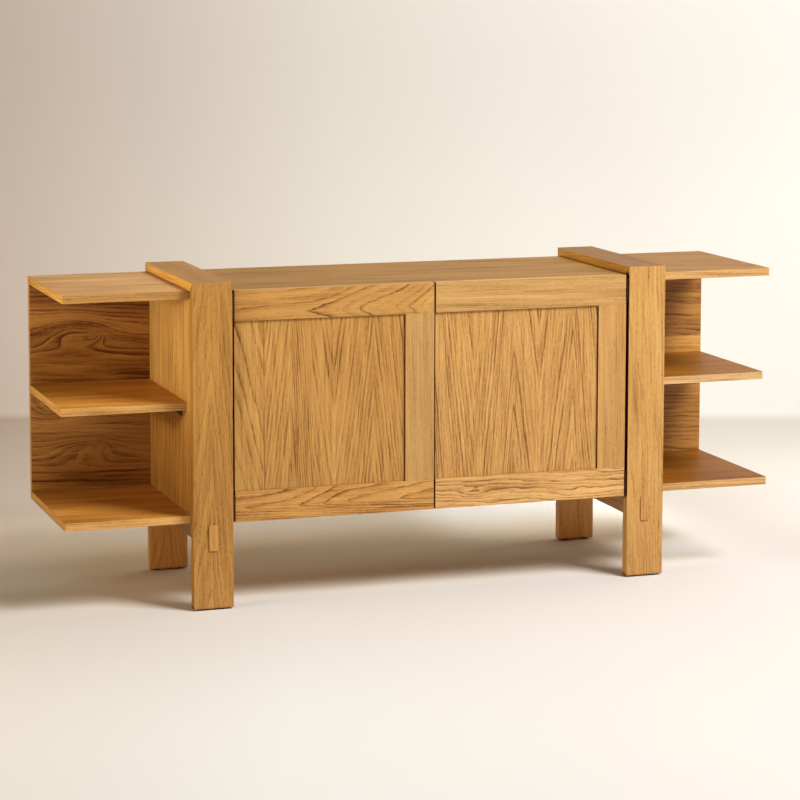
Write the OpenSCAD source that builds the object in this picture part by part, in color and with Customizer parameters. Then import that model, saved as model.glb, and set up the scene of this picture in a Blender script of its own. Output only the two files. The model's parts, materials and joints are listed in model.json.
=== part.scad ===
// Buffet table: a two-door cabinet held between two end frames, with an open
// shelf unit on each side. X runs along the length, the front faces -Y, and the
// origin is on the floor under the middle. Millimetres.

/* [Overall] */
// Height from the floor to the top of the end frames
height = 776; // [720:1:860]
// Depth over the posts, front face to back face
depth = 466; // [420:1:540]
// Clear width between the two end frames
opening_w = 1008; // [860:1:1300]
// Reach of each open shelf unit beyond its end frame
wing_w = 300; // [220:1:400]
// Height of the cabinet's underside above the floor
floor_gap = 205; // [150:1:240]

/* [End frames] */
// Width of a post and a cap, side to side
post_w = 96; // [84:1:120]
// Thickness of a post, front to back
post_t = 25; // [22:0.5:28]
// Thickness of a cap board, which rests on the top board
cap_t = 20; // [16:1:26]
// Thickness of a stretcher, side to side
stretcher_t = 27; // [25:1:34]
// Height of a stretcher
stretcher_h = 64; // [50:1:90]
// Thickness of the through tenons
tenon_t = 23; // [16:1:24]
// Shoulder above and below a through tenon
tenon_shoulder = 1; // [0.5:0.5:5]
// Corner radius of the through tenons
tenon_r = 5; // [2:0.5:7]
// How far a tenon stands out of its post
tenon_proud = 3; // [1:0.5:6]
// Gap between a tenon and its mortise
tenon_gap = 0.2; // [0.1:0.05:0.4]

/* [Glides] */
// Diameter of a glide
glide_d = 20; // [14:1:22]
// Height of a glide under its post
glide_h = 4; // [3:0.5:7]
// Diameter of a glide's pin
glide_pin_d = 6; // [4:0.5:8]
// Length of a glide's pin
glide_pin_l = 14; // [10:1:20]
// Distance between the two glides of a post
glide_pitch = 56; // [40:1:60]

/* [Cabinet and shelf units] */
// Thickness of the cabinet's and the shelf units' boards
board_t = 19; // [18:0.5:22]
// Thickness of the cabinet's back panel
back_t = 8; // [5:0.5:10]
// Depth of the rebate that holds the back panel
rebate = 6; // [4:0.5:8]
// Thickness of the shelf units' back panels
wing_back_t = 15; // [12:1:18]
// Height of the middle shelves' upper face above the floor
shelf_z = 489; // [440:1:540]
// How far the middle shelves' front lies behind the top board's front
shelf_setback = 28; // [10:1:60]
// Radius of the shelves' outer front corners
corner_r = 4; // [2:0.5:15]
// Height of the rail behind the right middle shelf
back_rail_h = 44; // [38:1:80]
// How far the inner shelves' front lies behind the top board's front
inner_setback = 20; // [10:1:60]
// Gap around the back panel and the inner shelves
loose_gap = 0.3; // [0.2:0.1:0.8]
// Gap between an inner shelf and the board beside it
shelf_side_gap = 1.5; // [1:0.5:3]

/* [Doors] */
// Thickness of a door
door_t = 21; // [19:0.5:24]
// Width of a door's rails and stile
rail_w = 73; // [66:1:90]
// How far a door's panel lies behind its rails
panel_recess = 5; // [2:0.5:7]
// How far the doors' faces lie behind the posts' faces
door_set = 5; // [4:0.5:7]
// Gap between a door and its post
side_gap = 6; // [5.6:0.1:8]
// Gap between the two doors
centre_gap = 3.6; // [2.4:0.1:6]
// Room behind a closed door, for pushing it in
push_gap = 3; // [2:0.5:4]
// Thickness of the tongues on a door's panel and stile
tongue_t = 6; // [4:0.5:8]
// Length of the tongues on a door's panel and stile
tongue_l = 8; // [5:0.5:12]
// Gap around a tongue in its groove
tongue_gap = 0.1; // [0.05:0.05:0.3]

/* [Hinges] */
// Height of a hinge
hinge_h = 56; // [46:1:60]
// Thickness of a hinge leaf
leaf_t = 2; // [1.6:0.1:2.4]
// How deep a leaf is let into the wood
leaf_inset = 1; // [0.6:0.1:1.1]
// Distance from a leaf's rear edge to the rear of the wood beside it
leaf_margin = 3; // [2:0.5:5]
// Gap around a leaf in its pocket
pocket_gap = 0.1; // [0.05:0.05:0.3]
// Outer diameter of a hinge's barrel
barrel_d = 5; // [4.6:0.1:5.2]
// Diameter of a hinge pin
hinge_pin_d = 2.5; // [2:0.1:3]
// How much narrower a hinge pin's head is than the barrel
pin_head_step = 0.4; // [0.2:0.1:0.8]
// Running gap around a hinge pin
hinge_gap = 0.05; // [0.02:0.01:0.1]
// Gap between two knuckles, end to end
knuckle_gap = 0.3; // [0.2:0.05:0.5]
// Gap between a leaf and the other leaf's knuckle
notch_gap = 0.6; // [0.4:0.1:1]

/* [Push latches] */
// Width and height of a latch body
latch_w = 16; // [13:0.5:20]
// Length of a latch body
latch_l = 75; // [60:1:100]
// Distance from the top board down to a latch body
latch_drop = 17; // [8:1:24]
// How far a latch body lies behind the partition's front edge
latch_setback = 1; // [0.5:0.5:4]
// Diameter of a latch plunger
plunger_d = 9; // [7:0.5:10]
// Length of a latch plunger
plunger_l = 34; // [24:1:44]
// How far a latch plunger can be pushed in
plunger_travel = 3; // [2:0.5:3]
// Running gap around a latch plunger
plunger_gap = 0.05; // [0.02:0.01:0.1]
// Diameter of a strike plate
strike_d = 14; // [10:0.5:15]
// Thickness of a strike plate
strike_t = 1.5; // [1:0.1:2.5]
// Gap between a plunger's tip and its strike plate
strike_gap = 0.3; // [0.2:0.05:0.5]

/* [Shelf supports] */
// Length of each leg of a shelf bracket
bracket_leg = 20; // [16:1:30]
// Length of a shelf bracket, front to back
bracket_l = 70; // [50:1:74]
// Thickness of a shelf bracket
bracket_t = 2; // [1.5:0.5:3]
// Distance between the two brackets of a shelf, middle to middle
bracket_pitch = 190; // [150:1:200]
// Diameter of a shelf pin
shelf_pin_d = 5; // [4:0.5:6]
// How deep a shelf pin goes into the board
shelf_pin_in = 8; // [6:0.5:8.5]
// How far a shelf pin stands out of the board
shelf_pin_out = 9; // [7:0.5:12]
// Thickness of a shelf pin's flat rest
rest_t = 2.5; // [1.5:0.5:3.5]
// Width of a shelf pin's flat rest
rest_w = 12; // [8:1:16]
// How far a shelf pin's flat rest is let into its round pin
rest_overlap = 0.5; // [0.3:0.1:1]
// Step between the holes for the shelf pins
pin_step = 32; // [25:1:40]
// Distance of the pin holes from the front and the back of the inside
pin_margin = 60; // [40:1:90]

/* [Dowels and screws] */
// Diameter of the large dowels
dowel_d = 8; // [6:0.5:9]
// Diameter of the small dowels
small_dowel_d = 6; // [5:0.5:7]
// Distance between neighbouring dowels in a joint
dowel_pitch = 150; // [120:1:160]
// Distance between neighbouring dowels of a post
post_dowel_pitch = 180; // [120:1:200]
// Inset of the shelf units' dowels from the ends of their back panels
wing_dowel_inset = 50; // [30:1:90]
// Gap around a dowel, a pin or a screw in its hole
fit_gap = 0.05; // [0.03:0.01:0.1]
// Diameter of the hinge, latch and bracket screws
screw_d = 3; // [2.5:0.1:3.4]
// Length of the hinge and latch screws in the wood
screw_l = 14; // [10:1:16]
// Length of the bracket screws in the wood
short_screw_l = 8; // [6:0.5:9]
// Diameter of the cap and stretcher screws
long_screw_d = 5; // [4:0.5:6]
// Distance between neighbouring cap or stretcher screws
long_screw_pitch = 130; // [100:1:150]
// How deep a long screw goes into a cap or a stretcher
long_screw_bite = 14; // [10:0.5:15]

/* [Hidden] */
$fn = 48;
cut = 1; // how far a cutting shape runs past the face that it opens

oak = "#c8954f";
oak_pale = "#d3a561";
oak_brown = "#9a6836";
beech = "#e0c08e";
bronze = "#3a2b22";
steel = "#9fa3a8";
black = "#1c1c1e";

LEFT = -1;
RIGHT = 1;

// Places along X, on the left side where a sign is needed
post_in = opening_w / 2;
post_mid = post_in + post_w / 2;
post_out = post_in + post_w;
wing_out = post_out + wing_w;
wall_in = post_out - board_t;
wall_mid = post_out - board_t / 2;
rear_dowel_x = post_out - (board_t - rebate) / 2;

// Places along Y
front = -depth / 2;
back = depth / 2;
carcass_front = front + post_t;
carcass_back = back - post_t;
carcass_d = carcass_back - carcass_front;
door_face = front + door_set;
door_rear = door_face + door_t;
board_front = door_rear + push_gap;
board_d = carcass_back - board_front;
back_face = carcass_back - back_t;

// Heights
deck = height - cap_t;
ceiling = deck - board_t;
base = floor_gap;
floor_top = base + board_t;
shelf_under = shelf_z - board_t;

// Doors
door_w = (opening_w - 2 * side_gap - centre_gap) / 2;
door_h = deck - base;
left_door_x = -post_in + side_gap;
right_door_x = centre_gap / 2;
panel_t = door_t - panel_recess;
panel_mid_y = door_rear - panel_t / 2;
panel_h = door_h - 2 * rail_w;

// Hinges
axis_x = post_in - side_gap / 2;
axis_y = door_face;
leaf_w = min(door_t, post_t - door_set) - leaf_margin;
leaf_screw_y = axis_y + barrel_d / 2 + (leaf_w - barrel_d / 2) / 2;
leaf_screw_pitch = hinge_h / 3;
hinge_heights = [base + rail_w / 2, deck - rail_w / 2];
knuckles = 5;
knuckle_h = (hinge_h - (knuckles - 1) * knuckle_gap) / knuckles;
pin_head_h = 0.8;

// Latches
latch_x = board_t / 2 + latch_w / 2;
latch_z = ceiling - latch_drop - latch_w / 2;
latch_face = board_front + latch_setback;
plunger_tip = door_rear + strike_gap;
latch_screw_at = [latch_l * 0.68, latch_l * 0.88];

// Dowels, screws and pins
long_dowel = 18;
dowel_in_board = 12;
post_dowel_in = 15;
small_dowel_long = 16;
small_dowel_in_board = 8;
head_rise = 1.6;
screw_head_d = 5.6;
long_head_d = 9;
long_head_rise = 2.4;
pin_hole_extra = 0.5;
dowel_ys = [for (i = [-1 : 1]) i * dowel_pitch];
partition_ys = [for (i = [-1, 1]) i * dowel_pitch * 0.8];
post_dowel_zs = [for (i = [-1 : 1]) (base + deck) / 2 + i * post_dowel_pitch];
wing_xs = [post_out + wing_dowel_inset, wing_out - wing_dowel_inset];
wing_back_y = carcass_back - wing_back_t / 2;
long_screw_ys = [for (i = [-1 : 1]) i * long_screw_pitch];
pin_ys = [board_front + pin_margin, back_face - pin_margin];
pin_z = shelf_under - rest_t - shelf_pin_d / 2 + rest_overlap;
pin_hole_zs = [for (i = [-1 : 1]) pin_z + i * pin_step];
bracket_mids = [for (i = [-1, 1]) i * bracket_pitch / 2];
bracket_screw_steps = [-bracket_l / 4, bracket_l / 4];
bracket_screw_out = bracket_leg * 0.6;

// Puts what is drawn on the left onto the given side
module on_side(side) {
    if (side == LEFT) {
        children();
    } else {
        mirror([1, 0, 0]) children();
    }
}

// A cylinder from a point, pointing along an axis
module rod(at, along, d, l) {
    translate(at)
        rotate(along == "x" ? [0, 90, 0] : along == "-x" ? [0, -90, 0]
             : along == "y" ? [-90, 0, 0] : along == "-y" ? [90, 0, 0]
             : along == "-z" ? [180, 0, 0] : [0, 0, 0])
            cylinder(d = d, h = l);
}

// A hole of the same form, which also opens the face that it starts from
module drill(at, along, d, l) {
    step = along == "x" ? [-cut, 0, 0] : along == "-x" ? [cut, 0, 0]
         : along == "y" ? [0, -cut, 0] : along == "-y" ? [0, cut, 0]
         : along == "-z" ? [0, 0, cut] : [0, 0, -cut];
    rod(at + step, along, d, l + cut);
}

// A countersunk screw whose head's face lies at a point
module screw(at, along, d, head_d, head_h, l) {
    translate(at)
        rotate(along == "x" ? [0, 90, 0] : along == "-x" ? [0, -90, 0]
             : along == "-z" ? [180, 0, 0] : [0, 0, 0])
            union() {
                cylinder(d1 = head_d, d2 = d, h = head_h);
                cylinder(d = d, h = l);
            }
}

// The hole for such a screw
module screw_hole(at, along, d, head_d, head_h, l) {
    gap = 2 * fit_gap;
    screw(at, along, d + gap, head_d + gap, head_h, l + pin_hole_extra);
    drill(at, along, d + gap, head_h);
}

// A dowel across a joint, from its middle plane
module dowel(at, along, back_along, d, l_on, l_back) {
    rod(at, along, d, l_on);
    rod(at, back_along, d, l_back);
}

// A rectangle with round corners, about its middle
module round_rect(w, h, r) {
    square([w - 2 * r, h], center = true);
    square([w, h - 2 * r], center = true);
    for (x = [-1, 1], y = [-1, 1])
        translate([x * (w / 2 - r), y * (h / 2 - r)])
            circle(r = r);
}

// A board seen from above, with a round corner at its left front
module corner_sheet(w, d) {
    translate([corner_r, 0]) square([w - corner_r, d]);
    translate([0, corner_r]) square([w, d - corner_r]);
    translate([corner_r, corner_r]) circle(r = corner_r);
}

// A tenon's outline, extruded along Y from a place
module tenon_form(y_from, y_to, grow) {
    w = tenon_t + 2 * grow;
    h = stretcher_h - 2 * tenon_shoulder + 2 * grow;
    translate([-post_mid, y_to, base - stretcher_h / 2])
        rotate([90, 0, 0])
            linear_extrude(y_to - y_from)
                round_rect(w, h, tenon_r + grow);
}

// The place of one glide of a front post, on the left
function glide_x(i) = -post_mid + i * glide_pitch / 2;

// A post on the left, as it stands at the front: its mitre, mortise, dowel and glide holes
module post_form(dowel_x, dowel_size) {
    difference() {
        translate([-post_out, 0, 0])
            rotate([90, 0, 90])
                linear_extrude(post_w)
                    polygon([[front, glide_h], [carcass_front, glide_h],
                             [carcass_front, deck], [front, height]]);
        tenon_form(front - cut, carcass_front + cut, tenon_gap);
        for (z = post_dowel_zs)
            drill([-dowel_x, carcass_front, z], "-y", dowel_size + 2 * fit_gap,
                  post_dowel_in + pin_hole_extra);
        for (i = [-1, 1])
            drill([glide_x(i), front + post_t / 2, glide_h], "z",
                  glide_pin_d + 2 * fit_gap, glide_pin_l + pin_hole_extra);
    }
}

module front_post(side) {
    color(oak) on_side(side) difference() {
        post_form(wall_mid, dowel_d);
        for (z = hinge_heights) {
            hinge_pocket(-post_in - leaf_inset, z);
            leaf_screw_holes(-post_in + leaf_t - leaf_inset, "-x", z);
        }
    }
}

module rear_post(side) {
    color(oak) on_side(side) mirror([0, 1, 0]) post_form(rear_dowel_x, small_dowel_d);
}

module cap(side) {
    color(oak) on_side(side) difference() {
        translate([-post_out, 0, 0])
            rotate([90, 0, 90])
                linear_extrude(post_w)
                    polygon([[front, height], [carcass_front, deck],
                             [carcass_back, deck], [back, height]]);
        for (y = long_screw_ys)
            drill([-post_mid, y, deck], "z", long_screw_d + 2 * fit_gap,
                  long_screw_bite + pin_hole_extra);
    }
}

module stretcher(side) {
    color(oak) on_side(side) difference() {
        union() {
            translate([-post_mid - stretcher_t / 2, carcass_front, base - stretcher_h])
                cube([stretcher_t, carcass_d, stretcher_h]);
            tenon_form(front - tenon_proud, back + tenon_proud, 0);
        }
        for (y = long_screw_ys)
            drill([-post_mid, y, base], "-z", long_screw_d + 2 * fit_gap,
                  long_screw_bite + board_t + pin_hole_extra);
    }
}

module glides() {
    color(black)
        for (side = [LEFT, RIGHT], turn = [0, 1], i = [-1, 1])
            on_side(side) mirror([0, turn, 0]) {
                translate([glide_x(i), front + post_t / 2, 0])
                    cylinder(d = glide_d, h = glide_h);
                rod([glide_x(i), front + post_t / 2, glide_h], "z", glide_pin_d, glide_pin_l);
            }
}

// The sheet that the top and bottom boards share, with round outer front corners
module long_board(z) {
    translate([0, board_front, z])
        linear_extrude(board_t)
            for (side = [LEFT, RIGHT])
                on_side(side) translate([-wing_out, 0]) corner_sheet(wing_out, board_d);
}

// Dowel holes in a long board, going into it from the cabinet's side
module board_dowel_holes(z, along) {
    for (side = [LEFT, RIGHT], y = dowel_ys)
        on_side(side)
            drill([-wall_mid, y, z], along, dowel_d + 2 * fit_gap,
                  dowel_in_board + pin_hole_extra);
    for (y = partition_ys)
        drill([0, y, z], along, dowel_d + 2 * fit_gap, dowel_in_board + pin_hole_extra);
    for (side = [LEFT, RIGHT], x = wing_xs)
        on_side(side)
            drill([-x, wing_back_y, z], along, small_dowel_d + 2 * fit_gap,
                  small_dowel_in_board + pin_hole_extra);
}

module top_board() {
    color(oak) difference() {
        long_board(ceiling);
        translate([-wall_in - rebate, back_face, ceiling - cut])
            cube([2 * (wall_in + rebate), back_t + cut, rebate + cut]);
        board_dowel_holes(ceiling, "z");
        for (side = [LEFT, RIGHT], y = long_screw_ys)
            on_side(side)
                screw_hole([-post_mid, y, ceiling], "z", long_screw_d, long_head_d,
                           long_head_rise, board_t + cut);
    }
}

module bottom_board() {
    color(oak) difference() {
        long_board(base);
        translate([-wall_in - rebate, back_face, floor_top - rebate])
            cube([2 * (wall_in + rebate), back_t + cut, rebate + cut]);
        board_dowel_holes(floor_top, "-z");
        for (side = [LEFT, RIGHT], y = long_screw_ys)
            on_side(side)
                screw_hole([-post_mid, y, floor_top], "-z", long_screw_d, long_head_d,
                           long_head_rise, board_t + cut);
    }
}

// Holes for the shelf pins in the face of a board at x, on the left
module pin_holes(x, along) {
    for (y = pin_ys, z = pin_hole_zs)
        drill([x, y, z], along, shelf_pin_d + 2 * fit_gap, shelf_pin_in + pin_hole_extra);
}

module wall(side) {
    color(oak_pale) on_side(side) difference() {
        translate([-post_out, carcass_front, floor_top])
            cube([board_t, carcass_d, ceiling - floor_top]);
        translate([-wall_in - rebate, back_face, floor_top - cut])
            cube([rebate + cut, back_t + cut, ceiling - floor_top + 2 * cut]);
        for (y = dowel_ys) {
            drill([-wall_mid, y, floor_top], "z", dowel_d + 2 * fit_gap,
                  long_dowel + pin_hole_extra);
            drill([-wall_mid, y, ceiling], "-z", dowel_d + 2 * fit_gap,
                  long_dowel + pin_hole_extra);
            drill([-post_out, y, shelf_z - board_t / 2], "x", small_dowel_d + 2 * fit_gap,
                  small_dowel_in_board + pin_hole_extra);
        }
        for (z = post_dowel_zs) {
            drill([-wall_mid, carcass_front, z], "y", dowel_d + 2 * fit_gap,
                  long_dowel + pin_hole_extra);
            drill([-rear_dowel_x, carcass_back, z], "-y", small_dowel_d + 2 * fit_gap,
                  long_dowel + pin_hole_extra);
        }
        pin_holes(-wall_in, "-x");
        for (y = bracket_mids, step = bracket_screw_steps)
            drill([-post_out, y + step, shelf_under - bracket_screw_out], "x",
                  screw_d + 2 * fit_gap, short_screw_l + pin_hole_extra);
    }
}

module partition() {
    color(oak_pale) difference() {
        translate([-board_t / 2, board_front, floor_top])
            cube([board_t, back_face - board_front, ceiling - floor_top]);
        for (y = partition_ys) {
            drill([0, y, floor_top], "z", dowel_d + 2 * fit_gap, long_dowel + pin_hole_extra);
            drill([0, y, ceiling], "-z", dowel_d + 2 * fit_gap, long_dowel + pin_hole_extra);
        }
        for (side = [LEFT, RIGHT])
            on_side(side) {
                pin_holes(-board_t / 2, "x");
                for (step = latch_screw_at)
                    drill([-board_t / 2, latch_face + step, latch_z], "x",
                          screw_d + 2 * fit_gap, short_screw_l + pin_hole_extra);
            }
    }
}

module back_panel() {
    w = 2 * (wall_in + rebate - loose_gap);
    h = ceiling - floor_top + 2 * (rebate - loose_gap);
    color(oak_brown)
        translate([-w / 2, back_face, floor_top - rebate + loose_gap])
            cube([w, back_t, h]);
}

module wing_shelf(side) {
    y_from = board_front + shelf_setback;
    color(oak) on_side(side) difference() {
        translate([-wing_out, y_from, shelf_under])
            linear_extrude(board_t) corner_sheet(wing_w, carcass_back - y_from);
        for (x = wing_xs) {
            drill([-x, wing_back_y, shelf_under], "z", small_dowel_d + 2 * fit_gap,
                  small_dowel_in_board + pin_hole_extra);
            drill([-x, wing_back_y, shelf_z], "-z", small_dowel_d + 2 * fit_gap,
                  small_dowel_in_board + pin_hole_extra);
        }
        for (y = dowel_ys)
            drill([-post_out, y, shelf_z - board_t / 2], "-x", small_dowel_d + 2 * fit_gap,
                  small_dowel_long + pin_hole_extra);
        for (y = bracket_mids, step = bracket_screw_steps)
            drill([-post_out - bracket_screw_out, y + step, shelf_under], "z",
                  screw_d + 2 * fit_gap, short_screw_l + pin_hole_extra);
    }
}

// A board of a shelf unit's back, dowelled above and below
module wing_back(side, z_from, z_to) {
    color(oak_brown) on_side(side) difference() {
        translate([-wing_out, carcass_back - wing_back_t, z_from])
            cube([wing_w, wing_back_t, z_to - z_from]);
        for (x = wing_xs) {
            drill([-x, wing_back_y, z_from], "z", small_dowel_d + 2 * fit_gap,
                  small_dowel_long + pin_hole_extra);
            drill([-x, wing_back_y, z_to], "-z", small_dowel_d + 2 * fit_gap,
                  small_dowel_long + pin_hole_extra);
        }
    }
}

module inner_shelf(side) {
    w = wall_in - board_t / 2 - 2 * shelf_side_gap;
    y_from = board_front + inner_setback;
    color(oak_pale) on_side(side)
        translate([-wall_in + shelf_side_gap, y_from, shelf_under])
            cube([w, back_face - loose_gap - y_from, board_t]);
}

// A shelf pin in a board at x, with its flat rest under the shelf
module shelf_pin(x, y, out) {
    step = out == "x" ? 0 : -shelf_pin_out;
    in = out == "x" ? "-x" : "x";
    rod([x, y, pin_z], out, shelf_pin_d, shelf_pin_out);
    rod([x, y, pin_z], in, shelf_pin_d, shelf_pin_in);
    translate([x + step, y - rest_w / 2, shelf_under - rest_t])
        cube([shelf_pin_out, rest_w, rest_t]);
}

module shelf_pins() {
    color(steel)
        for (side = [LEFT, RIGHT], y = pin_ys)
            on_side(side) {
                shelf_pin(-wall_in, y, "x");
                shelf_pin(-board_t / 2, y, "-x");
            }
}

module shelf_brackets() {
    color(black)
        for (side = [LEFT, RIGHT], y = bracket_mids)
            on_side(side) difference() {
                union() {
                    translate([-post_out - bracket_t, y - bracket_l / 2,
                               shelf_under - bracket_leg])
                        cube([bracket_t, bracket_l, bracket_leg]);
                    translate([-post_out - bracket_leg, y - bracket_l / 2,
                               shelf_under - bracket_t])
                        cube([bracket_leg, bracket_l, bracket_t]);
                }
                for (step = bracket_screw_steps) {
                    screw_hole([-post_out - bracket_t, y + step,
                                shelf_under - bracket_screw_out], "x",
                               screw_d, screw_head_d, head_rise, bracket_t + cut);
                    screw_hole([-post_out - bracket_screw_out, y + step,
                                shelf_under - bracket_t], "z",
                               screw_d, screw_head_d, head_rise, bracket_t + cut);
                }
            }
}

module bracket_screws() {
    color(black)
        for (side = [LEFT, RIGHT], y = bracket_mids, step = bracket_screw_steps)
            on_side(side) {
                screw([-post_out - bracket_t, y + step, shelf_under - bracket_screw_out],
                      "x", screw_d, screw_head_d, head_rise, bracket_t + short_screw_l);
                screw([-post_out - bracket_screw_out, y + step, shelf_under - bracket_t],
                      "z", screw_d, screw_head_d, head_rise, bracket_t + short_screw_l);
            }
}

// The pocket for a leaf of the left hinge, from x to x plus the inset
module hinge_pocket(x, z) {
    translate([x, axis_y - pocket_gap, z - hinge_h / 2 - pocket_gap])
        cube([leaf_inset + cut, leaf_w + 2 * pocket_gap, hinge_h + 2 * pocket_gap]);
}

// The screw holes behind a leaf whose face is at x
module leaf_screw_holes(x, along, z) {
    for (i = [-1 : 1])
        drill([x, leaf_screw_y, z + i * leaf_screw_pitch], along, screw_d + 2 * fit_gap,
              leaf_t + screw_l + pin_hole_extra);
}

module leaf_screws(x, along) {
    for (z = hinge_heights, i = [-1 : 1])
        screw([x, leaf_screw_y, z + i * leaf_screw_pitch], along, screw_d, screw_head_d,
              head_rise, leaf_t + screw_l);
}

// The height of knuckle k above the hinge's foot
function knuckle_z(k) = k * (knuckle_h + knuckle_gap);

// One leaf of a left hinge with its knuckles. own says which knuckles are its own:
// 0 for the even ones, on the post, and 1 for the odd ones, on the door.
module leaf(own) {
    x_from = own == 0 ? -side_gap / 2 - leaf_inset : side_gap / 2 + leaf_inset - leaf_t;
    face = own == 0 ? x_from + leaf_t : x_from;
    into = own == 0 ? "-x" : "x";
    notch = barrel_d / 2 + notch_gap;
    difference() {
        union() {
            translate([x_from, 0, -hinge_h / 2]) cube([leaf_t, leaf_w, hinge_h]);
            for (k = [own : 2 : knuckles - 1])
                translate([0, 0, knuckle_z(k) - hinge_h / 2])
                    cylinder(d = barrel_d, h = knuckle_h);
        }
        for (k = [1 - own : 2 : knuckles - 1])
            translate([x_from - cut, -cut, knuckle_z(k) - hinge_h / 2 - knuckle_gap])
                cube([leaf_t + 2 * cut, notch + cut, knuckle_h + 2 * knuckle_gap]);
        translate([0, 0, -hinge_h / 2 - cut])
            cylinder(d = hinge_pin_d + 2 * hinge_gap, h = hinge_h + 2 * cut);
        for (i = [-1 : 1])
            screw_hole([face, leaf_screw_y - axis_y, i * leaf_screw_pitch], into, screw_d,
                       screw_head_d, head_rise, leaf_t + cut);
    }
}

module hinge_leaves(side, own) {
    color(bronze) on_side(side)
        for (z = hinge_heights)
            translate([-axis_x, axis_y, z]) leaf(own);
}

module hinge_pins(side) {
    head_d = barrel_d - pin_head_step;
    color(bronze) on_side(side)
        for (z = hinge_heights)
            translate([-axis_x, axis_y, z - hinge_h / 2]) {
                translate([0, 0, -pin_head_h]) cylinder(d = head_d, h = pin_head_h);
                cylinder(d = hinge_pin_d, h = hinge_h);
                translate([0, 0, hinge_h]) cylinder(d = head_d, h = pin_head_h);
            }
}

module hinge_post_screws() {
    color(bronze)
        for (side = [LEFT, RIGHT])
            on_side(side) leaf_screws(-post_in + leaf_t - leaf_inset, "-x");
}

module door_hinge_screws(side) {
    color(bronze) on_side(side) leaf_screws(left_door_x - leaf_t + leaf_inset, "x");
}

// The groove in a rail's inner edge, which starts at height z
module rail_groove(x, z) {
    translate([x - cut, panel_mid_y - tongue_t / 2 - tongue_gap, z])
        cube([door_w + 2 * cut, tongue_t + 2 * tongue_gap, tongue_l + 2 * tongue_gap + cut]);
}

// What the rail at a hinge loses to its leaf. Both doors' hinges mirror each other.
module rail_hinge_cut(side, z) {
    on_side(side) {
        hinge_pocket(left_door_x - cut, z);
        leaf_screw_holes(left_door_x - leaf_t + leaf_inset, "x", z);
    }
}

module top_rail(side, x) {
    color(oak) difference() {
        translate([x, door_face, deck - rail_w]) cube([door_w, door_t, rail_w]);
        rail_groove(x, deck - rail_w - cut);
        rail_hinge_cut(side, hinge_heights[1]);
        on_side(side)
            drill([-latch_x, door_rear, latch_z], "-y", strike_d + 2 * fit_gap, strike_t);
    }
}

module bottom_rail(side, x) {
    color(oak) difference() {
        translate([x, door_face, base]) cube([door_w, door_t, rail_w]);
        rail_groove(x, base + rail_w - tongue_l - 2 * tongue_gap);
        rail_hinge_cut(side, hinge_heights[0]);
    }
}

// The stile stands at a door's right, between the rails
module stile(x) {
    x_from = x + door_w - rail_w;
    z_from = base + rail_w;
    color(oak) difference() {
        union() {
            translate([x_from, door_face, z_from]) cube([rail_w, door_t, panel_h]);
            translate([x_from, panel_mid_y - tongue_t / 2, z_from - tongue_l])
                cube([rail_w, tongue_t, panel_h + 2 * tongue_l]);
        }
        translate([x_from - cut, panel_mid_y - tongue_t / 2 - tongue_gap,
                   z_from - tongue_l - cut])
            cube([tongue_l + 2 * tongue_gap + cut, tongue_t + 2 * tongue_gap,
                  panel_h + 2 * tongue_l + 2 * cut]);
    }
}

// The panel runs out to the door's left edge and is tongued into the other three
module door_panel(x) {
    w = door_w - rail_w;
    z_from = base + rail_w;
    color(oak) union() {
        translate([x, door_face + panel_recess, z_from]) cube([w, panel_t, panel_h]);
        translate([x, panel_mid_y - tongue_t / 2, z_from - tongue_l])
            cube([w + tongue_l, tongue_t, panel_h + 2 * tongue_l]);
    }
}

module latch_body(side) {
    color(black) on_side(side) difference() {
        translate([-latch_x - latch_w / 2, latch_face, latch_z - latch_w / 2])
            cube([latch_w, latch_l, latch_w]);
        drill([-latch_x, latch_face, latch_z], "y", plunger_d + 2 * plunger_gap,
              plunger_tip + plunger_l + plunger_travel + 1 - latch_face);
        for (step = latch_screw_at)
            screw_hole([-latch_x - latch_w / 2, latch_face + step, latch_z], "x",
                       screw_d, screw_head_d, head_rise, latch_w + cut);
    }
}

module latch_plunger(side) {
    color(steel) on_side(side)
        rod([-latch_x, plunger_tip, latch_z], "y", plunger_d, plunger_l);
}

module strike_plate(side) {
    color(steel) on_side(side)
        rod([-latch_x, door_rear, latch_z], "-y", strike_d, strike_t);
}

module latch_screws() {
    color(steel)
        for (side = [LEFT, RIGHT], step = latch_screw_at)
            on_side(side)
                screw([-latch_x - latch_w / 2, latch_face + step, latch_z], "x",
                      screw_d, screw_head_d, head_rise, latch_w + short_screw_l);
}

module carcass_dowels() {
    color(beech) {
        for (side = [LEFT, RIGHT], y = dowel_ys)
            on_side(side) {
                dowel([-wall_mid, y, ceiling], "z", "-z", dowel_d, dowel_in_board, long_dowel);
                dowel([-wall_mid, y, floor_top], "-z", "z", dowel_d, dowel_in_board, long_dowel);
            }
        for (y = partition_ys) {
            dowel([0, y, ceiling], "z", "-z", dowel_d, dowel_in_board, long_dowel);
            dowel([0, y, floor_top], "-z", "z", dowel_d, dowel_in_board, long_dowel);
        }
    }
}

module post_dowels() {
    color(beech)
        for (side = [LEFT, RIGHT], z = post_dowel_zs)
            on_side(side) {
                dowel([-wall_mid, carcass_front, z], "-y", "y", dowel_d,
                      post_dowel_in, long_dowel);
                dowel([-rear_dowel_x, carcass_back, z], "y", "-y", small_dowel_d,
                      post_dowel_in, long_dowel);
            }
}

// A small dowel that joins a back board, above or below, to a shelf
module back_dowel(x, z, into_back, into_shelf) {
    dowel([-x, wing_back_y, z], into_back, into_shelf, small_dowel_d,
          small_dowel_long, small_dowel_in_board);
}

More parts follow.
